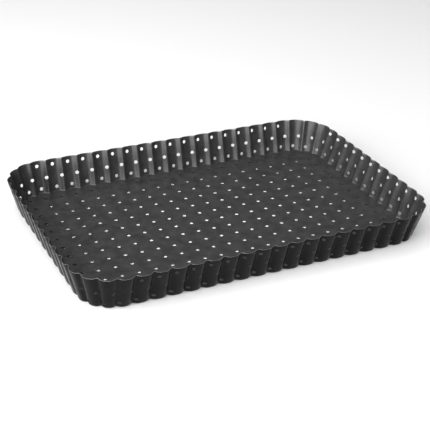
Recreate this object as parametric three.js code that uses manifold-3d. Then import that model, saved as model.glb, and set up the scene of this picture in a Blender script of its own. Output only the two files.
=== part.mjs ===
// A rectangular loose-base tart pan in perforated, coated sheet steel.
//
// Two pieces, as on the bench: a fluted ring with a narrow ledge turned in under it,
// and a flat perforated base that lies on the ledge and lifts straight out.
//
// Units are millimetres, +Z is up and +X runs along the long sides. The origin is the
// middle of the pan's footprint, on the surface that the pan stands on.

import * as THREE from 'three';
import { mergeVertices } from 'three/addons/utils/BufferGeometryUtils.js';
import Module from 'manifold-3d';

const wasm = await Module();
wasm.setup();

// ---------------------------------------------------------------- driving dimensions

const RIM_LENGTH = 310; // over the rim's outermost flutes
const RIM_WIDTH = 209;
const HEIGHT = 29;
const FLARE = 8.2; // how far each wall leans out between the foot and the rim
const FOOT_CORNER_RADIUS = 28;
const SHEET = 0.5; // steel thickness, the same in the ring and the base

const FLUTES = 68; // around the whole wall, 17 to each quarter
const FLUTE_DEPTH = 2.2;
const RIDGE_SOFTNESS = 0.2; // small gives sharp inward ridges, large gives an even wave
const LOBE_BREADTH = 1.5; // 1 gives plain sine lobes, more gives flatter, broader ones
const GUIDE_HEIGHT = 0.75; // share of the wall's height at which flutes are spaced evenly
const RIM_DIP = 0.5; // how much lower the cut rim is on a lobe than on a ridge
const STATIONS = 3 * FLUTES; // places around the pan where the outline has a point

const LEDGE_WIDTH = 15; // from the foot's outermost flutes to the opening under the base

const BASE_LIFT = 0.3; // the base lies this far above the ledge's top face
const BASE_CLEARANCE = 1.0; // between the base's edge and the wall

const HOLE_DIAMETER = 3.0;
const HOLE_SIDES = 6;
const HOLE_PITCH = 14; // of the base's square grid
const BASE_COLUMNS = 20;
const BASE_ROWS = 13;

// The wall's holes are spaced by this count per turn, so they drift against the flutes.
// The middle row is staggered against the others, and the high row stops at the corners.
const WALL_HOLES_PER_TURN = 69;
const WALL_ROWS = [
  { height: 4.8, shift: 0.81, corners: true },
  { height: 13.9, shift: 0.43, corners: true },
  { height: 24.2, shift: 0.93, corners: false },
];

// ---------------------------------------------------------------- the pan's outline

// The corner centres are the same at every height, so each point of the wall leans out
// along its own normal, away from the nearest point of this core rectangle.
const coreHalfLength = RIM_LENGTH / 2 - FLARE - FOOT_CORNER_RADIUS;
const coreHalfWidth = RIM_WIDTH / 2 - FLARE - FOOT_CORNER_RADIUS;

function corePoint({ x, y }) {
  return new THREE.Vector2(
    THREE.MathUtils.clamp(x, -coreHalfLength, coreHalfLength),
    THREE.MathUtils.clamp(y, -coreHalfWidth, coreHalfWidth),
  );
}

// A rounded rectangle that starts in the middle of the right-hand side.
function roundedRectangle(radius) {
  const path = new THREE.Path();
  const corners = [[1, 1], [-1, 1], [-1, -1], [1, -1]];
  path.moveTo(coreHalfLength + radius, 0);
  path.lineTo(coreHalfLength + radius, coreHalfWidth);
  corners.forEach(([sideX, sideY], quarter) => {
    const from = (quarter * Math.PI) / 2;
    const to = from + Math.PI / 2;
    path.absarc(sideX * coreHalfLength, sideY * coreHalfWidth, radius, from, to);
  });
  path.lineTo(coreHalfLength + radius, 0);
  return path;
}

// The flutes and the wall's holes are spaced evenly along this line part way up the wall.
const guide = roundedRectangle(FOOT_CORNER_RADIUS - FLUTE_DEPTH / 2 + FLARE * GUIDE_HEIGHT);

// The place on the guide at a fraction of a turn, as a core point and a direction.
function placeOnGuide(turns) {
  const point = guide.getPointAt(turns);
  const core = corePoint(point);
  return { core, outward: point.sub(core).normalize() };
}

// How far out a flute is: 0 on an inward ridge and 1 at the middle of a lobe. The ridges
// are tighter than the lobes.
function lobeShare(turns) {
  const swing = Math.sin(Math.PI * turns * FLUTES);
  const low = RIDGE_SOFTNESS;
  const high = Math.hypot(1, low);
  const belowCrest = (high - Math.hypot(swing, low)) / (high - low);
  return 1 - belowCrest ** LOBE_BREADTH;
}

// The foot of the fluted wall as a closed ring of points. An inset moves them inwards
// square to the sheet, so that the steel keeps one thickness around each flute.
function flutedFoot(inset) {
  const ring = Array.from({ length: STATIONS }, (_, i) => {
    const { core, outward } = placeOnGuide(i / STATIONS);
    const radius = FOOT_CORNER_RADIUS - FLUTE_DEPTH * (1 - lobeShare(i / STATIONS));
    return core.addScaledVector(outward, radius);
  });
  return ring.map((point, i) => {
    const before = ring[(i + STATIONS - 1) % STATIONS];
    const after = ring[(i + 1) % STATIONS];
    const inward = new THREE.Vector2(before.y - after.y, after.x - before.x).normalize();
    return point.clone().addScaledVector(inward, inset);
  });
}

// The edge of the opening under the base, station by station beside the foot.
function ledgeEdge() {
  return Array.from({ length: STATIONS }, (_, i) => {
    const { core, outward } = placeOnGuide(i / STATIONS);
    return core.addScaledVector(outward, FOOT_CORNER_RADIUS - LEDGE_WIDTH);
  });
}

// The same ring of points at a height on the leaning wall.
function leanOut(ring, height) {
  return ring.map((point) => {
    const outward = point.clone().sub(corePoint(point)).normalize();
    return point.clone().addScaledVector(outward, (FLARE * height) / HEIGHT);
  });
}

// ---------------------------------------------------------------- solids

function toSolid(geometry) {
  geometry.deleteAttribute('normal');
  geometry.deleteAttribute('uv');
  const merged = mergeVertices(geometry, 1e-4);
  return new wasm.Manifold(new wasm.Mesh({
    numProp: 3,
    vertProperties: merged.attributes.position.array,
    triVerts: new Uint32Array(merged.index.array),
  }));
}

function toGeometry(solid) {
  const { vertProperties, triVerts } = solid.getMesh();
  const geometry = new THREE.BufferGeometry();
  geometry.setAttribute('position', new THREE.BufferAttribute(vertProperties, 3));
  geometry.setIndex(new THREE.BufferAttribute(triVerts, 1));
  geometry.computeVertexNormals();
  return geometry;
}

// ---------------------------------------------------------------- the fluted ring

// The ring is turned as a round hoop with the sheet's section, an upright wall with a
// ledge at its foot, and each corner of that section is then laid along the pan's outline.
function unpunchedRing() {
  const outerFoot = flutedFoot(0);
  const innerFoot = flutedFoot(SHEET);
  const section = [
    { line: ledgeEdge(), height: 0 },
    { line: outerFoot, height: 0 },
    { line: leanOut(outerFoot, HEIGHT), height: HEIGHT },
    { line: leanOut(innerFoot, HEIGHT), height: HEIGHT },
    { line: leanOut(innerFoot, SHEET), height: SHEET },
    { line: ledgeEdge(), height: SHEET },
  ];
  const closedSection = [...section, section[0]];
  const profile = closedSection.map(({ height }, i) => new THREE.Vector2(RIM_LENGTH + i, height));
  const hoop = new THREE.LatheGeometry(profile, STATIONS);
  const position = hoop.attributes.position;
  for (let i = 0; i < position.count; i += 1) {
    const station = Math.floor(i / profile.length) % STATIONS;
    const { line, height } = closedSection[i % profile.length];
    const dip = (RIM_DIP * lobeShare(station / STATIONS) * height) / HEIGHT;
    position.setXYZ(i, line[station].x, line[station].y, height - dip);
  }
  return toSolid(hoop);
}

// A punch that stands square to the leaning wall and reaches through a whole flute.
function wallPunch({ core, outward }, height) {
  const radius = HOLE_DIAMETER / 2;
  const length = 3 * (FLUTE_DEPTH + SHEET);
  const punch = new THREE.CylinderGeometry(radius, radius, length, HOLE_SIDES);
  const middleOfWall = FOOT_CORNER_RADIUS - FLUTE_DEPTH / 2 + (FLARE * height) / HEIGHT;
  punch.rotateZ(-Math.PI / 2);
  punch.rotateY(Math.atan2(FLARE, HEIGHT));
  punch.translate(middleOfWall, 0, height);
  punch.rotateZ(outward.angle());
  punch.translate(core.x, core.y, 0);
  return toSolid(punch);
}

function flutedRing() {
  let ring = unpunchedRing();
  for (const { height, shift, corners } of WALL_ROWS) {
    for (let i = 0; i < WALL_HOLES_PER_TURN; i += 1) {
      const place = placeOnGuide((i + shift) / WALL_HOLES_PER_TURN);
      const onStraight = Math.min(Math.abs(place.outward.x), Math.abs(place.outward.y)) < 0.1;
      if (corners || onStraight) ring = ring.subtract(wallPunch(place, height));
    }
  }
  return toGeometry(ring);
}

// ---------------------------------------------------------------- the loose base

function basePunch(x, y) {
  const radius = HOLE_DIAMETER / 2;
  const punch = new THREE.CylinderGeometry(radius, radius, 4 * SHEET, HOLE_SIDES);
  punch.rotateX(Math.PI / 2);
  punch.translate(x, y, SHEET / 2);
  return toSolid(punch);
}

function looseBase() {
  const outline = new THREE.Shape(flutedFoot(SHEET + BASE_CLEARANCE));
  const blank = new THREE.ExtrudeGeometry(outline, { depth: SHEET, bevelEnabled: false });
  let plate = toSolid(blank);
  for (let column = 0; column < BASE_COLUMNS; column += 1) {
    for (let row = 0; row < BASE_ROWS; row += 1) {
      const x = (column - (BASE_COLUMNS - 1) / 2) * HOLE_PITCH;
      const y = (row - (BASE_ROWS - 1) / 2) * HOLE_PITCH;
      plate = plate.subtract(basePunch(x, y));
    }
  }
  return toGeometry(plate);
}

// ---------------------------------------------------------------- the pan

const coatedSteel = { metalness: 0.35, roughness: 0.45 };

const ring = new THREE.Mesh(
  flutedRing(),
  new THREE.MeshStandardMaterial({ color: '#39393b', ...coatedSteel }),
);
ring.name = 'fluted_ring';

const base = new THREE.Mesh(
  looseBase(),
  new THREE.MeshStandardMaterial({ color: '#3f3f41', ...coatedSteel }),
);
base.name = 'loose_base';
base.position.z = SHEET + BASE_LIFT;

const pan = new THREE.Group();
pan.add(ring, base);

export default pan;
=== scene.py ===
# %% [markdown]
# # A loose-base tart pan in perforated, coated sheet steel
# The real pan is two pieces of thin sheet steel: a fluted ring with a narrow ledge turned in
# under it, and a flat perforated base that lies on that ledge and lifts straight out. The
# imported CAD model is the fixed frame: it holds the sizes, the places and the joint. Here each
# piece is built again with the detail of real sheet metal, around that frame and in metres.

# %% Load the frame
import math

import bmesh
import bpy
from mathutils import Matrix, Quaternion, Vector


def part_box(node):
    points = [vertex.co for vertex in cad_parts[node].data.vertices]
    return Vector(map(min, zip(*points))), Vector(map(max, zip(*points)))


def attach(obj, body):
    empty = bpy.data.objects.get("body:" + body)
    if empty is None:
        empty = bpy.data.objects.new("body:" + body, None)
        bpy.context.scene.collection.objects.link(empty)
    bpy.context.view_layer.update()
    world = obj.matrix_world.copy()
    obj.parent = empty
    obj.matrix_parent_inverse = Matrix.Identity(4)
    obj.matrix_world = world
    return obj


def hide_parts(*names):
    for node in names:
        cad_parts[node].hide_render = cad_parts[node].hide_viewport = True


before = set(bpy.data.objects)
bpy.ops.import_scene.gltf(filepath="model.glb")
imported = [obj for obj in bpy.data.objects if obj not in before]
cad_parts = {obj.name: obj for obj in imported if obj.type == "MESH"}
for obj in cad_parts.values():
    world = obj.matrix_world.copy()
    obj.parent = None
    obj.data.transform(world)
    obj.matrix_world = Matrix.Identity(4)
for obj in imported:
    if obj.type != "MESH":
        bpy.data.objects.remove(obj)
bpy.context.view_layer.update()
MM = 0.001

rim_low, rim_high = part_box("fluted_ring")
base_low, base_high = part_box("loose_base")
rim_length, rim_width, height = rim_high - rim_low
print(f"rim {rim_length / MM:.1f} x {rim_width / MM:.1f} mm, {height / MM:.1f} mm high")
print(f"base from {base_low.z / MM:.2f} to {base_high.z / MM:.2f} mm")

# %% [markdown]
# ## Camera
# The view looks down on the pan from the front left, from about three times its length away
# and with a long lens, so the far side hardly shrinks. The camera comes first, so that every
# later step can be looked at from the same place.

# %% Set the camera
VIEW_AZIMUTH = math.radians(27.03)  # turned from +Y towards +X
VIEW_ELEVATION = math.radians(28.41)
VIEW_ROLL = math.radians(2.41)
VIEW_DISTANCE = 0.941
VIEW_AIM = Vector((3.8, 6.2, 0.0)) * MM
LENS = 93.4

towards = Vector((
    math.sin(VIEW_AZIMUTH) * math.cos(VIEW_ELEVATION),
    math.cos(VIEW_AZIMUTH) * math.cos(VIEW_ELEVATION),
    -math.sin(VIEW_ELEVATION),
))
camera = bpy.data.objects.new("camera", bpy.data.cameras.new("camera"))
camera.data.lens = LENS
camera.location = VIEW_AIM - towards * VIEW_DISTANCE
camera.rotation_mode = "QUATERNION"
camera.rotation_quaternion = Quaternion(towards, -VIEW_ROLL) @ towards.to_track_quat("-Z", "Y")
bpy.context.scene.collection.objects.link(camera)
bpy.context.scene.camera = camera
print("camera at", [round(c, 3) for c in camera.location])

# %% [markdown]
# ## Node helpers
# Shaders and Geometry Nodes are both graphs. One small function adds a node, sets its
# properties and links or fills its inputs, so that the code below reads like the graph does.
# A second one starts a group, with named inputs for its sizes.

# %% A function for every node, and one for a group
MATH, VECTOR_MATH = "ShaderNodeMath", "ShaderNodeVectorMath"


def add(tree, kind, inputs=(), **settings):
    """Adds a node. Its inputs are a dictionary, or a row of values for the first sockets, and
    each value can be a number, a colour, another node or one of its outputs."""
    node = tree.nodes.new(kind)
    for name, value in settings.items():
        setattr(node, name, value)
    for key, value in inputs.items() if isinstance(inputs, dict) else enumerate(inputs):
        if isinstance(value, bpy.types.Node):
            value = value.outputs[0]
        if isinstance(value, bpy.types.NodeSocket):
            tree.links.new(value, node.inputs[key])
        else:
            node.inputs[key].default_value = value
    return node


def new_group(name, inputs, outputs):
    """Makes a Geometry Nodes group with named inputs and outputs: {name: socket type}."""
    tree = bpy.data.node_groups.new(name, "GeometryNodeTree")
    for in_out, sockets in (("INPUT", inputs), ("OUTPUT", outputs)):
        for label, kind in sockets.items():
            tree.interface.new_socket(label, in_out=in_out, socket_type=f"NodeSocket{kind}")
    return tree, tree.nodes.new("NodeGroupInput").outputs, tree.nodes.new("NodeGroupOutput")


print("helpers ready: add for a node, new_group for a group")

# %% [markdown]
# ## The pan's outline
# Both pieces follow one line: a rounded rectangle with 68 shallow flutes pressed into it. On
# the real pan a fluted roller forms them. It could be drawn point by point, but it follows a
# rule, so a node group makes it: a filleted rectangle, stations along it that crowd round each
# ridge, and each station moved out by the flute's reach at that place. The inward ridges are
# tight and the outward lobes are broad, which a softened sine gives.

# %% Sizes of the outline
FLARE = 8.2 * MM  # how far the wall leans out between foot and rim
FOOT_CORNER_RADIUS = 28 * MM
SHEET = base_high.z - base_low.z
FLUTES = 68
FLUTE_DEPTH = 2.2 * MM
GUIDE_HEIGHT = 0.75  # share of the wall's height at which flutes and holes are spaced evenly
RIDGE_SOFTNESS = 0.2  # small gives sharp inward ridges, large gives an even wave
LOBE_BREADTH = 1.5  # 1 gives plain sine lobes, more gives flatter, broader ones

outline_sizes = {
    "Core Half Length": rim_length / 2 - FLARE - FOOT_CORNER_RADIUS,
    "Core Half Width": rim_width / 2 - FLARE - FOOT_CORNER_RADIUS,
    "Foot Radius": FOOT_CORNER_RADIUS,
    "Flare": FLARE,
    "Guide Height": GUIDE_HEIGHT,
    "Flutes": FLUTES,
    "Flute Depth": FLUTE_DEPTH,
    "Ridge Softness": RIDGE_SOFTNESS,
    "Lobe Breadth": LOBE_BREADTH,
}
size_sockets = {name: "Float" for name in outline_sizes} | {"Flutes": "Int"}
print("sheet", round(SHEET / MM, 2), "mm,", FLUTES, "flutes")

# %% Directions from the core
# The four corners' centres make a core rectangle, the same at every height. Each point of the
# wall stands out from the nearest point of the core.
outline, given, made = new_group(
    "fluted_outline",
    size_sockets | {"Inset": "Float"},
    {"Fluted": "Geometry", "Plain": "Geometry", "Phase": "Float", "Lobe": "Float",
     "Outward": "Vector", "Core": "Vector"},
)


def nearest_core_point(tree, half_length, half_width):
    """The nearest point of the core rectangle, and the direction outwards from it."""
    place = add(tree, "GeometryNodeInputPosition")
    flat = add(tree, VECTOR_MATH, (place, (1, 1, 0)), operation="MULTIPLY")
    corner = add(tree, "ShaderNodeCombineXYZ", (half_length, half_width))
    opposite = add(tree, VECTOR_MATH, (corner, (-1, -1, -1)), operation="MULTIPLY")
    nearer = add(tree, VECTOR_MATH, (flat, corner), operation="MINIMUM")
    core = add(tree, VECTOR_MATH, (nearer, opposite), operation="MAXIMUM")
    away = add(tree, VECTOR_MATH, (flat, core), operation="SUBTRACT")
    return core, add(tree, VECTOR_MATH, (away,), operation="NORMALIZE")


def step_out(tree, core, outward, radius):
    """The point at that distance from the core, in the outward direction."""
    reach = add(tree, VECTOR_MATH, {0: outward, "Scale": radius}, operation="SCALE")
    return add(tree, VECTOR_MATH, (core, reach), operation="ADD")


core, outward = nearest_core_point(outline, given["Core Half Length"], given["Core Half Width"])
print("core rectangle", [round(2 * outline_sizes[name] / MM, 1) for name in
                         ("Core Half Length", "Core Half Width")], "mm")

# %% The guide
# A filleted rectangle part way up the wall, through the middle of the flutes.
ARC_POINTS = 64  # of each corner

guide_lean = add(outline, MATH, (given["Flare"], given["Guide Height"]), operation="MULTIPLY")
half_flute = add(outline, MATH, (given["Flute Depth"], 0.5), operation="MULTIPLY")
lobe_radius = add(outline, MATH, (given["Foot Radius"], guide_lean), operation="ADD")
guide_radius = add(outline, MATH, (lobe_radius, half_flute), operation="SUBTRACT")
guide_sides = []
for name in ("Core Half Length", "Core Half Width"):
    half = add(outline, MATH, (given[name], guide_radius), operation="ADD")
    guide_sides.append(add(outline, MATH, (half, 2), operation="MULTIPLY"))
rectangle = add(outline, "GeometryNodeCurvePrimitiveQuadrilateral", {
    "Width": guide_sides[0], "Height": guide_sides[1]})
guide = add(outline, "GeometryNodeFilletCurve", {
    "Curve": rectangle, "Radius": guide_radius, "Count": ARC_POINTS}, mode="POLY")
print("guide radius", round(
    (FOOT_CORNER_RADIUS + FLARE * GUIDE_HEIGHT - FLUTE_DEPTH / 2) / MM, 2), "mm at the corners")

# %% Stations along the guide
# They are counted from the ridge in the middle of the right-hand side. The guide itself begins
# at the first corner's arc, half a straight short side later: the phase is that share of it.
STATIONS_PER_FLUTE = 24
STATION_CROWDING = 0.6  # how much closer the stations stand on the ridges than on the lobes

stations = add(outline, MATH, (given["Flutes"], STATIONS_PER_FLUTE), operation="MULTIPLY")
spaced = add(outline, "GeometryNodeResampleCurve", {"Curve": guide, "Count": stations})
perimeter = add(outline, "GeometryNodeCurveLength", (guide,))
phase = add(outline, MATH, (given["Core Half Width"], perimeter), operation="DIVIDE")

index = add(outline, "GeometryNodeInputIndex")
even_count = add(outline, MATH, (index, STATIONS_PER_FLUTE), operation="DIVIDE")
full_wave = add(outline, MATH, (even_count, 2 * math.pi), operation="MULTIPLY")
crowding = add(outline, MATH, (full_wave,), operation="SINE")
flute_count = add(outline, MATH, (crowding, -STATION_CROWDING / (2 * math.pi), even_count),
                  operation="MULTIPLY_ADD")
turns = add(outline, MATH, (flute_count, given["Flutes"]), operation="DIVIDE")
past_start = add(outline, MATH, (turns, phase), operation="SUBTRACT")
on_guide = add(outline, "GeometryNodeSampleCurve", {
    "Curves": guide, "Factor": add(outline, MATH, (past_start,), operation="FRACT"),
}, mode="FACTOR")
crowded = add(outline, "GeometryNodeSetPosition", {
    "Geometry": spaced, "Position": on_guide.outputs["Position"]})
print(FLUTES * STATIONS_PER_FLUTE, "stations round the pan")

# %% How far out each station stands
# The root of sine squared plus softness squared is a sine whose zeros are rounded off. It is
# turned into a share, from 0 on a ridge to 1 on a lobe, and a power then broadens the lobes.
half_wave = add(outline, MATH, (flute_count, math.pi), operation="MULTIPLY")
swing = add(outline, MATH, (half_wave,), operation="SINE")
softness_squared = add(outline, MATH, (given["Ridge Softness"], 2), operation="POWER")
wave_squared = add(outline, MATH, (swing, swing, softness_squared), operation="MULTIPLY_ADD")
crest_squared = add(outline, MATH, (softness_squared, 1), operation="ADD")
below_crest = add(outline, "ShaderNodeMapRange", {
    "Value": add(outline, MATH, (wave_squared,), operation="SQRT"),
    "From Min": given["Ridge Softness"],
    "From Max": add(outline, MATH, (crest_squared,), operation="SQRT"),
    "To Min": 1, "To Max": 0,
})
narrowed = add(outline, MATH, (below_crest, given["Lobe Breadth"]), operation="POWER")
lobe = add(outline, MATH, (1, narrowed), operation="SUBTRACT")
ridge_radius = add(outline, MATH, (given["Foot Radius"], given["Flute Depth"]),
                   operation="SUBTRACT")
foot_radius = add(outline, MATH, (lobe, given["Flute Depth"], ridge_radius),
                  operation="MULTIPLY_ADD")
print("ridges", round(FLUTE_DEPTH / MM, 1), "mm inside the lobes")

# %% Move the stations out
# Each station keeps its directions and its share, because the swept sheet reads them later.
kept = add(outline, "GeometryNodeCaptureAttribute", {"Geometry": crowded})
for name, kind, node in (
    ("Outward", "VECTOR", outward), ("Core", "VECTOR", core), ("Lobe", "FLOAT", lobe),
):
    kept.capture_items.new(kind, name)
    outline.links.new(node.outputs[0], kept.inputs[name])
level = add(outline, "GeometryNodeSetCurveNormal", {"Curve": kept}, mode="Z_UP")
fluted = add(outline, "GeometryNodeSetPosition", {
    "Geometry": level,
    "Position": step_out(outline, kept.outputs["Core"], kept.outputs["Outward"], foot_radius),
})
inset = add(outline, VECTOR_MATH, {
    0: add(outline, "GeometryNodeInputNormal"),
    "Scale": add(outline, MATH, (given["Inset"], -1), operation="MULTIPLY"),
}, operation="SCALE")
moved_in = add(outline, "GeometryNodeSetPosition", {"Geometry": fluted, "Offset": inset})

for name, socket in {
    "Fluted": moved_in.outputs[0], "Plain": guide.outputs[0], "Phase": phase.outputs[0],
    "Outward": kept.outputs["Outward"], "Core": kept.outputs["Core"],
    "Lobe": kept.outputs["Lobe"],
}.items():
    outline.links.new(socket, made.inputs[name])
print("fluted_outline has", len(outline.nodes), "nodes")

# %% [markdown]
# ## Turning a node tree into a piece
# A finished piece is a plain mesh. The modifier's inputs are set by the sockets' identifiers
# before anything is evaluated, the evaluated object is copied into a mesh, and the modifier
# goes with the object that carried it. Edges sharper than a fold stay crisp in the shading.

# %% One function from tree to mesh
CRISP_ANGLE = math.radians(42)


def build_piece(name, tree, values):
    """Runs a Geometry Nodes tree on an empty mesh and keeps the result as a plain mesh."""
    carrier = bpy.data.objects.new(name + "_tree", bpy.data.meshes.new(name + "_tree"))
    bpy.context.scene.collection.objects.link(carrier)
    modifier = carrier.modifiers.new("nodes", "NODES")
    modifier.node_group = tree
    for item in tree.interface.items_tree:
        if item.item_type == "SOCKET" and item.in_out == "INPUT":
            modifier[item.identifier] = values[item.name]
    evaluated = carrier.evaluated_get(bpy.context.evaluated_depsgraph_get())
    mesh = bpy.data.meshes.new_from_object(evaluated)
    carrier.modifiers.remove(modifier)
    bpy.data.objects.remove(carrier)

    mesh.name = name
    mesh.shade_smooth()
    mesh.set_sharp_from_angle(angle=CRISP_ANGLE)
    piece = bpy.data.objects.new(name, mesh)
    bpy.context.scene.collection.objects.link(piece)
    low = [min(v.co[k] for v in mesh.vertices) / MM for k in range(3)]
    high = [max(v.co[k] for v in mesh.vertices) / MM for k in range(3)]
    triangles = sum(len(p.vertices) - 2 for p in mesh.polygons)
    print(name, triangles, "triangles, from", [round(c, 2) for c in low],
          "to", [round(c, 2) for c in high], "mm")
    return piece


print("edges over", round(math.degrees(CRISP_ANGLE)), "degrees will look crisp")

# %% [markdown]
# ## The fluted ring
# The ring is one strip of sheet, folded: an upright wall, and a narrow ledge turned in at its
# foot. So it is made as the sheet is, from one drawn section swept round the outline. The
# flutes die out across the ledge, the wall leans out, and the holes are punched square to it.

# %% Draw the ring's section
LEDGE_WIDTH = 15 * MM  # from the foot's outermost flutes to the opening under the base
FOLD_RADIUS = 1.2 * MM  # inside the fold between ledge and wall
CUT_EDGE_RADIUS = 0.2 * MM  # where shears cut the sheet
ARC_STEPS = 4
WALL_STEPS = 3


def arc(centre, radius, start, end):
    """Points along an arc, with angles in degrees."""
    angles = [math.radians(start + (end - start) * i / ARC_STEPS) for i in range(ARC_STEPS + 1)]
    return [(centre[0] + radius * math.cos(a), centre[1] + radius * math.sin(a)) for a in angles]


def risers(x, start, end):
    """Points up or down the wall between two heights, ends left out."""
    return [(x, start + (end - start) * i / WALL_STEPS) for i in range(1, WALL_STEPS)]


outer_fold = FOLD_RADIUS + SHEET
fold_centre = (-outer_fold, outer_fold)
edge = CUT_EDGE_RADIUS
section_points = [
    *arc(fold_centre, outer_fold, -90, 0),
    *risers(0, outer_fold, height - edge),
    *arc((-edge, height - edge), edge, 0, 90),
    *arc((-SHEET + edge, height - edge), edge, 90, 180),
    *risers(-SHEET, height - edge, outer_fold),
    *reversed(arc(fold_centre, FOLD_RADIUS, -90, 0)),
    *arc((-LEDGE_WIDTH + edge, SHEET - edge), edge, 90, 180),
    *arc((-LEDGE_WIDTH + edge, edge), edge, 180, 270),
]
drawing = bpy.data.curves.new("ring_section", "CURVE")
spline = drawing.splines.new("POLY")
spline.points.add(len(section_points) - 1)
for point, (x, z) in zip(spline.points, reversed(section_points)):
    point.co = (x, -z, 0, 1)  # a sweep along a level curve turns the drawing's Y downwards
spline.use_cyclic_u = True
section = bpy.data.objects.new("ring_section", drawing)
bpy.context.scene.collection.objects.link(section)
print("the ring's section has", len(section_points), "points")

# %% Sweep the section round the outline
# Every point of the swept sheet remembers where it was in the drawing.
ring_tree, given, made = new_group(
    "fluted_ring_tree",
    size_sockets | {
        "Height": "Float", "Sheet": "Float", "Ledge Width": "Float", "Section": "Object",
        "Rim Dip": "Float", "Hole Diameter": "Float", "Holes per Turn": "Int",
        "Material": "Material"},
    {"Geometry": "Geometry"},
)
line = add(ring_tree, "GeometryNodeGroup", node_tree=outline)
for name in outline_sizes:
    ring_tree.links.new(given[name], line.inputs[name])

drawn_section = add(ring_tree, "GeometryNodeObjectInfo", {"Object": given["Section"]})
drawn = add(ring_tree, "GeometryNodeCaptureAttribute", {
    "Geometry": drawn_section.outputs["Geometry"]})
drawn.capture_items.new("VECTOR", "Drawn")
drawn_place = add(ring_tree, "GeometryNodeInputPosition")
ring_tree.links.new(drawn_place.outputs[0], drawn.inputs["Drawn"])
swept = add(ring_tree, "GeometryNodeCurveToMesh", {
    "Curve": line.outputs["Fluted"], "Profile Curve": drawn})
drawn_at = add(ring_tree, "ShaderNodeSeparateXYZ", (drawn.outputs["Drawn"],))
drawn_height = add(ring_tree, MATH, (drawn_at.outputs["Y"], -1), operation="MULTIPLY")
print("the sheet has", len(section_points) * FLUTES * STATIONS_PER_FLUTE, "points")

# %% Fade the flutes across the ledge
# The ledge's free edge follows the plain rounded rectangle.
FADE_START, FADE_END = 0.2, 0.9  # shares of the ledge's width, from the foot inwards

ledge_radius = add(ring_tree, MATH, (given["Foot Radius"], drawn_at.outputs["X"]),
                   operation="ADD")
up = add(ring_tree, "ShaderNodeCombineXYZ", {"Z": drawn_height})
flat = step_out(ring_tree, line.outputs["Core"], line.outputs["Outward"], ledge_radius)
plain = add(ring_tree, VECTOR_MATH, (flat, up), operation="ADD")
fade_start, fade_end = [
    add(ring_tree, MATH, (given["Ledge Width"], -share), operation="MULTIPLY")
    for share in (FADE_START, FADE_END)]
wallness = add(ring_tree, "ShaderNodeMapRange", {
    "Value": drawn_at.outputs["X"], "From Min": fade_end, "From Max": fade_start})
folded = add(ring_tree, "ShaderNodeMix", {
    "Factor": wallness, 4: plain, 5: add(ring_tree, "GeometryNodeInputPosition"),
}, data_type="VECTOR")
print("flutes are gone", round(LEDGE_WIDTH * FADE_END / MM, 1), "mm in from the foot")

# %% Lean the wall out and dip the rim
RIM_DIP = 0.5 * MM  # how much lower the cut rim is on a lobe than on a ridge

lean = add(ring_tree, MATH, (given["Flare"], given["Height"]), operation="DIVIDE")
wall_height = add(ring_tree, MATH, (drawn_height, wallness), operation="MULTIPLY")
lean_here = add(ring_tree, MATH, (lean, wall_height), operation="MULTIPLY")
leant = add(ring_tree, VECTOR_MATH, {0: line.outputs["Outward"], "Scale": lean_here},
            operation="SCALE")
height_share = add(ring_tree, MATH, (drawn_height, given["Height"]), operation="DIVIDE")
lobe_here = add(ring_tree, MATH, (line.outputs["Lobe"], height_share), operation="MULTIPLY")
dip = add(ring_tree, MATH, (given["Rim Dip"], lobe_here), operation="MULTIPLY")
down = add(ring_tree, "ShaderNodeCombineXYZ", {
    "Z": add(ring_tree, MATH, (dip, -1), operation="MULTIPLY")})
shaped = add(ring_tree, "GeometryNodeSetPosition", {
    "Geometry": swept, "Position": folded.outputs[1],
    "Offset": add(ring_tree, VECTOR_MATH, (leant, down), operation="ADD"),
})
print("the wall leans", round(math.degrees(math.atan2(FLARE, height)), 1), "degrees")

# %% The wall's punch
# It reaches through a whole flute and stands square to the leaning wall.
HOLE_DIAMETER = 3.0 * MM
HOLE_SIDES = 24
PUNCH_LENGTH = 3  # in depths of a flute with its sheet

through_flute = add(ring_tree, MATH, (given["Flute Depth"], given["Sheet"]), operation="ADD")
punch = add(ring_tree, "GeometryNodeMeshCylinder", {
    "Vertices": HOLE_SIDES,
    "Radius": add(ring_tree, MATH, (given["Hole Diameter"], 0.5), operation="MULTIPLY"),
    "Depth": add(ring_tree, MATH, (through_flute, PUNCH_LENGTH), operation="MULTIPLY"),
})
core, outward = nearest_core_point(ring_tree, given["Core Half Length"], given["Core Half Width"])
half_flute = add(ring_tree, MATH, (given["Flute Depth"], 0.5), operation="MULTIPLY")
foot_middle = add(ring_tree, MATH, (given["Foot Radius"], half_flute), operation="SUBTRACT")
tilt = add(ring_tree, "ShaderNodeCombineXYZ", {"Z": lean})
print("holes", round(HOLE_DIAMETER / MM, 1), "mm across,", HOLE_SIDES, "sides")

# %% Set out the rows of punches
# Each row is spaced evenly along the same guide as the flutes, but by its own count, so the
# holes drift against the flutes. The top row leaves out the corners.
WALL_HOLES_PER_TURN = 69
# Height on the wall, shift in hole steps, and whether the row goes round the corners.
WALL_ROWS = ((4.8 * MM, 0.81, True), (13.9 * MM, 0.43, True), (24.2 * MM, 0.93, False))
CORNER_TURN = 0.1  # where a direction's X times its Y is over this, it points out of a corner

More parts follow.
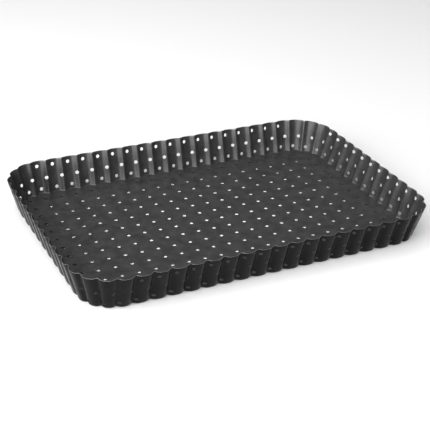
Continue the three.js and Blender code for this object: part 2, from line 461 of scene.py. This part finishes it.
index = add(ring_tree, "GeometryNodeInputIndex")
punches = add(ring_tree, "GeometryNodeJoinGeometry")
for row_height, shift, round_corners in WALL_ROWS:
    step = add(ring_tree, MATH, (index, shift), operation="ADD")
    turns = add(ring_tree, MATH, (step, given["Holes per Turn"]), operation="DIVIDE")
    past_start = add(ring_tree, MATH, (turns, line.outputs["Phase"]), operation="SUBTRACT")
    on_guide = add(ring_tree, "GeometryNodeSampleCurve", {
        "Curves": line.outputs["Plain"],
        "Factor": add(ring_tree, MATH, (past_start,), operation="FRACT"),
    }, mode="FACTOR")
    row = add(ring_tree, "GeometryNodeSetPosition", {
        "Geometry": add(ring_tree, "GeometryNodePoints", {"Count": given["Holes per Turn"]}),
        "Position": on_guide.outputs["Position"],
    })
    facing = add(ring_tree, "GeometryNodeCaptureAttribute", {"Geometry": row})
    facing.capture_items.new("VECTOR", "Outward")
    ring_tree.links.new(outward.outputs[0], facing.inputs["Outward"])
    left_out = 0
    if not round_corners:
        parts = add(ring_tree, "ShaderNodeSeparateXYZ", (facing.outputs["Outward"],))
        turned = add(ring_tree, MATH, (parts.outputs["X"], parts.outputs["Y"]),
                     operation="MULTIPLY")
        turned = add(ring_tree, MATH, (turned,), operation="ABSOLUTE")
        left_out = add(ring_tree, MATH, (turned, CORNER_TURN), operation="GREATER_THAN")

    middle = add(ring_tree, MATH, (lean, row_height, foot_middle), operation="MULTIPLY_ADD")
    raised = add(ring_tree, "GeometryNodeSetPosition", {
        "Geometry": facing, "Position": step_out(ring_tree, core, outward, middle),
        "Offset": (0, 0, row_height),
    })
    square_to_wall = add(ring_tree, VECTOR_MATH, (facing.outputs["Outward"], tilt),
                         operation="SUBTRACT")
    placed = add(ring_tree, "GeometryNodeInstanceOnPoints", {
        "Points": raised, "Instance": punch,
        "Selection": add(ring_tree, MATH, (1, left_out), operation="SUBTRACT"),
        "Rotation": add(ring_tree, "FunctionNodeAlignRotationToVector", {
            "Vector": square_to_wall}, axis="Z"),
    })
    ring_tree.links.new(placed.outputs[0], punches.inputs[0])
print(len(WALL_ROWS), "rows of up to", WALL_HOLES_PER_TURN, "holes")

# %% Punch the ring
punched = add(ring_tree, "GeometryNodeMeshBoolean", (
    shaped, add(ring_tree, "GeometryNodeRealizeInstances", (punches,)),
), operation="DIFFERENCE", solver="MANIFOLD")
real = add(ring_tree, "GeometryNodeRealizeInstances", (punched,))
finished = add(ring_tree, "GeometryNodeSetMaterial", {
    "Geometry": real, "Material": given["Material"]})
ring_tree.links.new(finished.outputs[0], made.inputs[0])
print("fluted_ring_tree has", len(ring_tree.nodes), "nodes")

# %% [markdown]
# ## The loose base
# The base is cut from perforated sheet: the holes come first, in one square grid, and the
# blank is then cut to the fluted outline. Resting on its rim, the thin plate hangs a little
# in the middle, which lets the middle holes sit right on the table. A grid of small faces
# lets the blank take that shape, and each punch is flared, so that every hole has soft edges.

# %% The blank
HOLE_PITCH = 14 * MM
BASE_COLUMNS = 20
BASE_ROWS = 13
FACES_PER_PITCH = 4
SPARE_SHEET = 2 * HOLE_PITCH  # past the outer holes, before the blank is trimmed

base_tree, given, made = new_group(
    "loose_base_tree",
    size_sockets | {
        "Clearance": "Float", "Sheet": "Float", "Underside": "Float", "Sag": "Float",
        "Open Half Length": "Float", "Open Half Width": "Float",
        "Columns": "Int", "Rows": "Int", "Pitch": "Float", "Hole Diameter": "Float",
        "Material": "Material"},
    {"Geometry": "Geometry"},
)
blank_sides, blank_points = [], []
for name in ("Columns", "Rows"):
    span = add(base_tree, MATH, (given[name], given["Pitch"], SPARE_SHEET),
               operation="MULTIPLY_ADD")
    faces = add(base_tree, MATH, (span, FACES_PER_PITCH), operation="MULTIPLY")
    faces = add(base_tree, MATH, (faces, given["Pitch"]), operation="DIVIDE")
    faces = add(base_tree, MATH, (faces,), operation="ROUND")
    blank_sides.append(span)
    blank_points.append(add(base_tree, MATH, (faces, 1), operation="ADD"))
blank = add(base_tree, "GeometryNodeMeshCube", {
    "Size": add(base_tree, "ShaderNodeCombineXYZ", (*blank_sides, given["Sheet"])),
    "Vertices X": blank_points[0], "Vertices Y": blank_points[1], "Vertices Z": 2,
})
print("the blank has a face every", round(HOLE_PITCH / FACES_PER_PITCH / MM, 1), "mm")

# %% The base's punch
# A cylinder of stacked parts. The middle one is straight, and the others flare where the punch
# passes the sheet's faces.
HOLE_EDGE = 0.15 * MM  # how much the punch rounds each hole's edges
PUNCH_PARTS = 3

straight_half = add(base_tree, MATH, (given["Sheet"], 0.5, -HOLE_EDGE), operation="MULTIPLY_ADD")
cylinder = add(base_tree, "GeometryNodeMeshCylinder", {
    "Vertices": HOLE_SIDES, "Side Segments": PUNCH_PARTS,
    "Radius": add(base_tree, MATH, (given["Hole Diameter"], 0.5), operation="MULTIPLY"),
    "Depth": add(base_tree, MATH, (straight_half, 2 * PUNCH_PARTS), operation="MULTIPLY"),
})
place = add(base_tree, "GeometryNodeInputPosition")
punch_at = add(base_tree, "ShaderNodeSeparateXYZ", (place,))
from_middle = add(base_tree, MATH, (punch_at.outputs["Z"],), operation="ABSOLUTE")
past_straight = add(base_tree, MATH, (from_middle, straight_half), operation="SUBTRACT")
sideways = add(base_tree, "ShaderNodeCombineXYZ", (punch_at.outputs["X"], punch_at.outputs["Y"]))
flare = add(base_tree, VECTOR_MATH, {
    0: add(base_tree, VECTOR_MATH, (sideways,), operation="NORMALIZE"),
    "Scale": add(base_tree, MATH, (past_straight, 0), operation="MAXIMUM"),
}, operation="SCALE")
flared = add(base_tree, "GeometryNodeSetPosition", {"Geometry": cylinder, "Offset": flare})
print("the punch is straight for", round((SHEET - 2 * HOLE_EDGE) / MM, 2), "mm")

# %% Punch the blank
grid_sides = []
for name in ("Columns", "Rows"):
    gaps = add(base_tree, MATH, (given[name], 1), operation="SUBTRACT")
    grid_sides.append(add(base_tree, MATH, (gaps, given["Pitch"]), operation="MULTIPLY"))
grid = add(base_tree, "GeometryNodeMeshGrid", {
    "Size X": grid_sides[0], "Size Y": grid_sides[1],
    "Vertices X": given["Columns"], "Vertices Y": given["Rows"],
})
punches = add(base_tree, "GeometryNodeInstanceOnPoints", {"Points": grid, "Instance": flared})
perforated = add(base_tree, "GeometryNodeMeshBoolean", (
    blank, add(base_tree, "GeometryNodeRealizeInstances", (punches,)),
), operation="DIFFERENCE", solver="MANIFOLD")
print(BASE_COLUMNS * BASE_ROWS, "holes in the base")

# %% Trim the blank to the outline
# The cutter is the outline, swept up a short vertical line and closed at both ends.
BASE_CLEARANCE = 1.0 * MM  # between the base's edge and the wall
CUTTER_REACH = 2  # sheet thicknesses above and below the middle of the blank

line = add(base_tree, "GeometryNodeGroup", {
    "Inset": add(base_tree, MATH, (given["Sheet"], given["Clearance"]), operation="ADD"),
}, node_tree=outline)
for name in outline_sizes:
    base_tree.links.new(given[name], line.inputs[name])
cutter_low, cutter_high = [
    add(base_tree, "ShaderNodeCombineXYZ", {
        "Z": add(base_tree, MATH, (given["Sheet"], reach), operation="MULTIPLY")})
    for reach in (-CUTTER_REACH, CUTTER_REACH)]
upright = add(base_tree, "GeometryNodeCurvePrimitiveLine", {
    "Start": cutter_low, "End": cutter_high})
cutter = add(base_tree, "GeometryNodeCurveToMesh", {
    "Curve": upright, "Profile Curve": line.outputs["Fluted"], "Fill Caps": True})
trimmed = add(base_tree, "GeometryNodeMeshBoolean", {1: perforated},
              operation="INTERSECT", solver="MANIFOLD")
base_tree.links.new(cutter.outputs[0], trimmed.inputs[1])
print("the base ends", round(BASE_CLEARANCE / MM, 1), "mm inside the wall")

# %% Let the plate sag
# The sag is nothing at the edge of the ring's opening, and all of it in the middle.
TABLE_GAP = 0.1 * MM  # under the middle of the plate

place = add(base_tree, "GeometryNodeInputPosition")
at = add(base_tree, "ShaderNodeSeparateXYZ", (place,))
sag = given["Sag"]
for axis, half in (("X", given["Open Half Length"]), ("Y", given["Open Half Width"])):
    share = add(base_tree, MATH, (at.outputs[axis], half), operation="DIVIDE")
    share = add(base_tree, MATH, (share, 2), operation="POWER")
    left = add(base_tree, MATH, (1, share), operation="SUBTRACT")
    left = add(base_tree, MATH, (left, 0), operation="MAXIMUM")
    sag = add(base_tree, MATH, (left, sag), operation="MULTIPLY")
middle_height = add(base_tree, MATH, (given["Sheet"], 0.5, given["Underside"]),
                    operation="MULTIPLY_ADD")
sagged = add(base_tree, "GeometryNodeSetPosition", {
    "Geometry": trimmed,
    "Offset": add(base_tree, "ShaderNodeCombineXYZ", {
        "Z": add(base_tree, MATH, (middle_height, sag), operation="SUBTRACT")}),
})
real = add(base_tree, "GeometryNodeRealizeInstances", (sagged,))
finished = add(base_tree, "GeometryNodeSetMaterial", {
    "Geometry": real, "Material": given["Material"]})
base_tree.links.new(finished.outputs[0], made.inputs[0])
print("loose_base_tree has", len(base_tree.nodes), "nodes")

# %% [markdown]
# ## The coating
# Both pieces are steel sheet under a sprayed and baked non-stick coating. Inside it is a satin
# charcoal PTFE with a fine grain, which spreads the light and looks dark grey. The outside and
# the underside get a smoother, blacker and less shiny copy of that coat. That copy paints in the
# shade those faces stand in, so they turn bright only at a grazing look. Along the cut top of
# the rim a thin line of light bare steel stands partly for the sheared edge and partly for a
# painted highlight. The noise leaves patches of coat on it, and faces that look down keep the
# coat. A painted picture of all this would have to be fitted to the flutes, so two noises and
# the direction of each face make it instead.

# %% Colours
INSIDE_DARK, INSIDE_LIGHT = "#272728", "#3f3f40"  # charcoal between the grains and on them
# Painted shade: the outside and underside coat is a darker copy of the inside one, for faces that
# stand in shade.
SHADED_OUTSIDE_DARK, SHADED_OUTSIDE_LIGHT = "#080809", "#111112"  # nearly black
# Light steel for the top of the rim: partly the bare cut edge, partly a painted highlight.
BARE_STEEL_AND_RIM_HIGHLIGHT = "#8c8c8c"


def linear(hex_code):
    """An sRGB hex colour as the linear RGBA that Blender's sockets take."""
    channels = [int(hex_code[i:i + 2], 16) / 255 for i in (1, 3, 5)]
    return (*[c / 12.92 if c <= 0.04045 else ((c + 0.055) / 1.055) ** 2.4 for c in channels], 1)


print("inside coat from", [round(c, 3) for c in linear(INSIDE_DARK)[:3]],
      "to", [round(c, 3) for c in linear(INSIDE_LIGHT)[:3]])

# %% Which faces wear the painted shade of the outside coat
SHADED_OUTSIDE_BEGINS, SHADED_OUTSIDE_FULL = 0.1, 0.3  # cosines against the outward or downward direction


def painted_shade_mask(tree, place, normal):
    """Where the painted shade goes: 1 where a face looks away from the pan's middle, or down.
    Also how far down it looks.
    """
    corner = (outline_sizes["Core Half Length"], outline_sizes["Core Half Width"], 0)
    nearer = add(tree, VECTOR_MATH, (place, corner), operation="MINIMUM")
    core = add(tree, VECTOR_MATH, (nearer, [-c for c in corner]), operation="MAXIMUM")
    away = add(tree, VECTOR_MATH, (place, core), operation="SUBTRACT")
    away = add(tree, VECTOR_MATH, (away, (1, 1, 0)), operation="MULTIPLY")
    away = add(tree, VECTOR_MATH, (away,), operation="NORMALIZE")
    facing = add(tree, VECTOR_MATH, (away, normal), operation="DOT_PRODUCT").outputs["Value"]
    down = add(tree, VECTOR_MATH, (normal, (0, 0, -1)), operation="DOT_PRODUCT").outputs["Value"]
    outer = add(tree, MATH, (facing, down), operation="MAXIMUM")
    mask = add(tree, "ShaderNodeMapRange", {
        "Value": outer, "From Min": SHADED_OUTSIDE_BEGINS, "From Max": SHADED_OUTSIDE_FULL})
    return mask, down


print("outside coat is full up to", round(math.degrees(math.acos(SHADED_OUTSIDE_FULL))),
      "degrees from straight out")

# %% The coat and its shaded copy
# PTFE has a low index. Noise in the roughness gives the satin its patches, and the grain's
# small bumps break up the highlights.
COATING_IOR = 1.38
# The outside's low shine is part of its painted shade: it mirrors little of the bright floor.
INSIDE_SHINE, SHADED_OUTSIDE_SHINE = 0.8, 0.18  # 0.5 is what that index gives a clean face
INSIDE_ROUGHNESS, OUTSIDE_ROUGHNESS = (0.28, 0.36), (0.20, 0.28)  # smooth patches to dull ones
MOTTLE_SPREAD = (0.3, 0.7)  # the part of the noise that goes from smooth to dull
SPECKLE_SPREAD = (0.12, 0.42)  # the part of both noises that goes from dark to light


def coat_and_shaded_copy(tree, mottle, grain, bump):
    """The satin charcoal coat of the inside, and a smoother, blacker copy of it for the outside,
    which is painted shade.
    """
    speckle = add(tree, MATH, (mottle, grain), operation="MULTIPLY")
    tone = add(tree, "ShaderNodeMapRange", {
        "Value": speckle, "From Min": SPECKLE_SPREAD[0], "From Max": SPECKLE_SPREAD[1]})
    coats = []
    for dark, light, shine, (smooth, dull) in (
        (INSIDE_DARK, INSIDE_LIGHT, INSIDE_SHINE, INSIDE_ROUGHNESS),
        (SHADED_OUTSIDE_DARK, SHADED_OUTSIDE_LIGHT, SHADED_OUTSIDE_SHINE, OUTSIDE_ROUGHNESS),
    ):
        colour = add(tree, "ShaderNodeMix", {
            "Factor": tone, 6: linear(dark), 7: linear(light)}, data_type="RGBA")
        rough = add(tree, "ShaderNodeMapRange", {
            "Value": mottle, "From Min": MOTTLE_SPREAD[0], "From Max": MOTTLE_SPREAD[1],
            "To Min": smooth, "To Max": dull})
        coats.append(add(tree, "ShaderNodeBsdfPrincipled", {
            "Base Color": colour.outputs[2], "Roughness": rough, "IOR": COATING_IOR,
            "Specular IOR Level": shine, "Normal": bump}))
    return coats


print("roughness inside", INSIDE_ROUGHNESS, "and outside", OUTSIDE_ROUGHNESS)

# %% The coated steel
# Bare sheared steel is a dull metal, so it keeps the default index and only its colour,
# its roughness and the grain's bumps are set. Its light line along the top of the rim is partly
# the cut edge and partly a painted highlight.
MOTTLE_SIZE = 9 * MM
GRAIN_SIZE = 0.9 * MM  # real grain is near 0.2 mm, drawn coarser so that it shows
GRAIN_HEIGHT = 0.03 * MM
GRAIN_STRENGTH = 0.6
MOTTLE_DETAIL, GRAIN_DETAIL = 3, 2
NOISE_ROUGHNESS = 0.6
STEEL_ROUGHNESS = 0.45
# The downward look keeps the painted highlight off faces that look down, and the noise leaves
# patches of coat.
CREEP_AND_SHADE_LIMIT = 0.2  # the coating has crept over the edge where mottle and downward look reach this


def coated_steel(name, bare_and_highlight_from):
    """Steel with the satin coat inside and its blacker copy outside, which is painted shade, and
    uncoated light steel above a height, partly the cut edge and partly a painted highlight.
    """
    material = bpy.data.materials.new(name)
    material.use_nodes = True
    tree = material.node_tree
    tree.nodes.clear()
    coordinates = add(tree, "ShaderNodeTexCoord")
    place = coordinates.outputs["Object"]
    mottle, grain = [
        add(tree, "ShaderNodeTexNoise", {
            "Vector": place, "Scale": 1 / size, "Detail": detail, "Roughness": NOISE_ROUGHNESS})
        for size, detail in ((MOTTLE_SIZE, MOTTLE_DETAIL), (GRAIN_SIZE, GRAIN_DETAIL))]
    bump = add(tree, "ShaderNodeBump", {
        "Height": grain, "Distance": GRAIN_HEIGHT, "Strength": GRAIN_STRENGTH})
    # Painted shade: faces that look out or down get the darker, less shiny copy of the coat.
    outside, down = painted_shade_mask(tree, place, coordinates.outputs["Normal"])
    coat = add(tree, "ShaderNodeMixShader", (outside, *coat_and_shaded_copy(tree, mottle, grain, bump)))

    steel = add(tree, "ShaderNodeBsdfPrincipled", {
        "Base Color": linear(BARE_STEEL_AND_RIM_HIGHLIGHT), "Metallic": 1, "Roughness": STEEL_ROUGHNESS,
        "Normal": bump})
    # Painted highlight, partly the bare cut edge: light steel on the rim's top, left off faces
    # that look down.
    height_here = add(tree, "ShaderNodeSeparateXYZ", (place,)).outputs["Z"]
    high = add(tree, MATH, (height_here, bare_and_highlight_from), operation="GREATER_THAN")
    creep_and_downward_look = add(tree, MATH, (mottle, down), operation="ADD")
    cut = add(tree, "ShaderNodeMapRange", {"Value": creep_and_downward_look, "From Min": CREEP_AND_SHADE_LIMIT, "From Max": 0})
    bare_steel_and_highlight = add(tree, MATH, (high, cut), operation="MULTIPLY")
    surface = add(tree, "ShaderNodeMixShader", (bare_steel_and_highlight, coat, steel))
    add(tree, "ShaderNodeOutputMaterial", {"Surface": surface})
    return material


NEVER = 1  # metres, higher than the base ever is
ring_coating = coated_steel("non_stick_coating_with_painted_shade_and_highlight_on_ring", rim_high.z - RIM_DIP - SHEET)
base_coating = coated_steel("non_stick_coating_with_painted_shade_on_base", NEVER)
print("coatings made:", ring_coating.name, base_coating.name)

# %% [markdown]
# ## The two pieces
# Each tree runs once with the sizes of this pan. The results stand for the CAD pieces of the
# same shape, and ride on the same bodies: the base lifts straight out of the ring.

# %% Make the ring
ring = build_piece("perforated_fluted_ring", ring_tree, outline_sizes | {
    "Height": height, "Sheet": SHEET, "Ledge Width": LEDGE_WIDTH, "Section": section,
    "Rim Dip": RIM_DIP, "Hole Diameter": HOLE_DIAMETER, "Holes per Turn": WALL_HOLES_PER_TURN,
    "Material": ring_coating,
})
bpy.data.objects.remove(section)
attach(ring, "ring")
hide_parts("fluted_ring")

# %% Make the base
base = build_piece("perforated_base", base_tree, outline_sizes | {
    "Clearance": BASE_CLEARANCE, "Sheet": SHEET, "Underside": base_low.z,
    "Sag": base_low.z - TABLE_GAP,
    "Open Half Length": rim_length / 2 - FLARE - LEDGE_WIDTH,
    "Open Half Width": rim_width / 2 - FLARE - LEDGE_WIDTH,
    "Columns": BASE_COLUMNS, "Rows": BASE_ROWS, "Pitch": HOLE_PITCH,
    "Hole Diameter": HOLE_DIAMETER, "Material": base_coating,
})
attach(base, "base")
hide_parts("loose_base")

# %% [markdown]
# ## Floor and light
# A plain pale floor under soft studio light. The main softbox stands low at the front left, so
# that it looks into the pan, lights the inside of the far walls and throws the shadow behind.
# A second one on the left brightens the left-hand wall, and a wide one overhead keeps the
# floor pale. One hard lamp would be simpler, but a coating this dark shows what it mirrors, so
# the lights have to be broad.

# %% Lay the floor
FLOOR_SIZE = 8.0
FLOOR_COLOUR = "#f4f4f4"

floor_mesh = bmesh.new()
bmesh.ops.create_grid(floor_mesh, x_segments=1, y_segments=1, size=FLOOR_SIZE / 2)
floor = bpy.data.objects.new("floor", bpy.data.meshes.new("floor"))
floor_mesh.to_mesh(floor.data)
floor_mesh.free()
bpy.context.scene.collection.objects.link(floor)
paper = bpy.data.materials.new("pale_paper")
paper.use_nodes = True
paper.node_tree.nodes.clear()
add(paper.node_tree, "ShaderNodeOutputMaterial", {
    "Surface": add(paper.node_tree, "ShaderNodeBsdfDiffuse", {"Color": linear(FLOOR_COLOUR)})})
floor.data.materials.append(paper)
print("floor", [round(side, 1) for side in floor.dimensions[:2]], "m")

# %% Set the softboxes
def softbox(name, azimuth, elevation, distance, width, radiance):
    """A square soft light aimed at the pan, azimuth in degrees from +Y towards +X."""
    lamp = bpy.data.objects.new(name, bpy.data.lights.new(name, "AREA"))
    lamp.data.size = width
    lamp.data.energy = radiance * math.pi * width ** 2
    turn, rise = math.radians(azimuth), math.radians(elevation)
    lamp.location = distance * Vector((
        math.sin(turn) * math.cos(rise), math.cos(turn) * math.cos(rise), math.sin(rise)))
    lamp.rotation_mode = "QUATERNION"
    lamp.rotation_quaternion = (-lamp.location).to_track_quat("-Z", "Y")
    bpy.context.scene.collection.objects.link(lamp)
    print("softbox", name, "gives", round(lamp.data.energy, 1), "W")


softbox("key", azimuth=-140, elevation=29, distance=1.5, width=1.5, radiance=4.4)
softbox("left", azimuth=-95, elevation=30, distance=1.5, width=1.0, radiance=4.2)
softbox("overhead", azimuth=0, elevation=80, distance=1.3, width=1.6, radiance=1.5)

# %% Light the room
ROOM_LIGHT = 0.12

world = bpy.data.worlds.new("room")
world.use_nodes = True
world.node_tree.nodes.clear()
add(world.node_tree, "ShaderNodeOutputWorld", {
    "Surface": add(world.node_tree, "ShaderNodeBackground", {
        "Color": (1, 1, 1, 1), "Strength": ROOM_LIGHT})})
bpy.context.scene.world = world
bpy.context.scene.view_settings.view_transform = "Standard"
print("room light", ROOM_LIGHT)
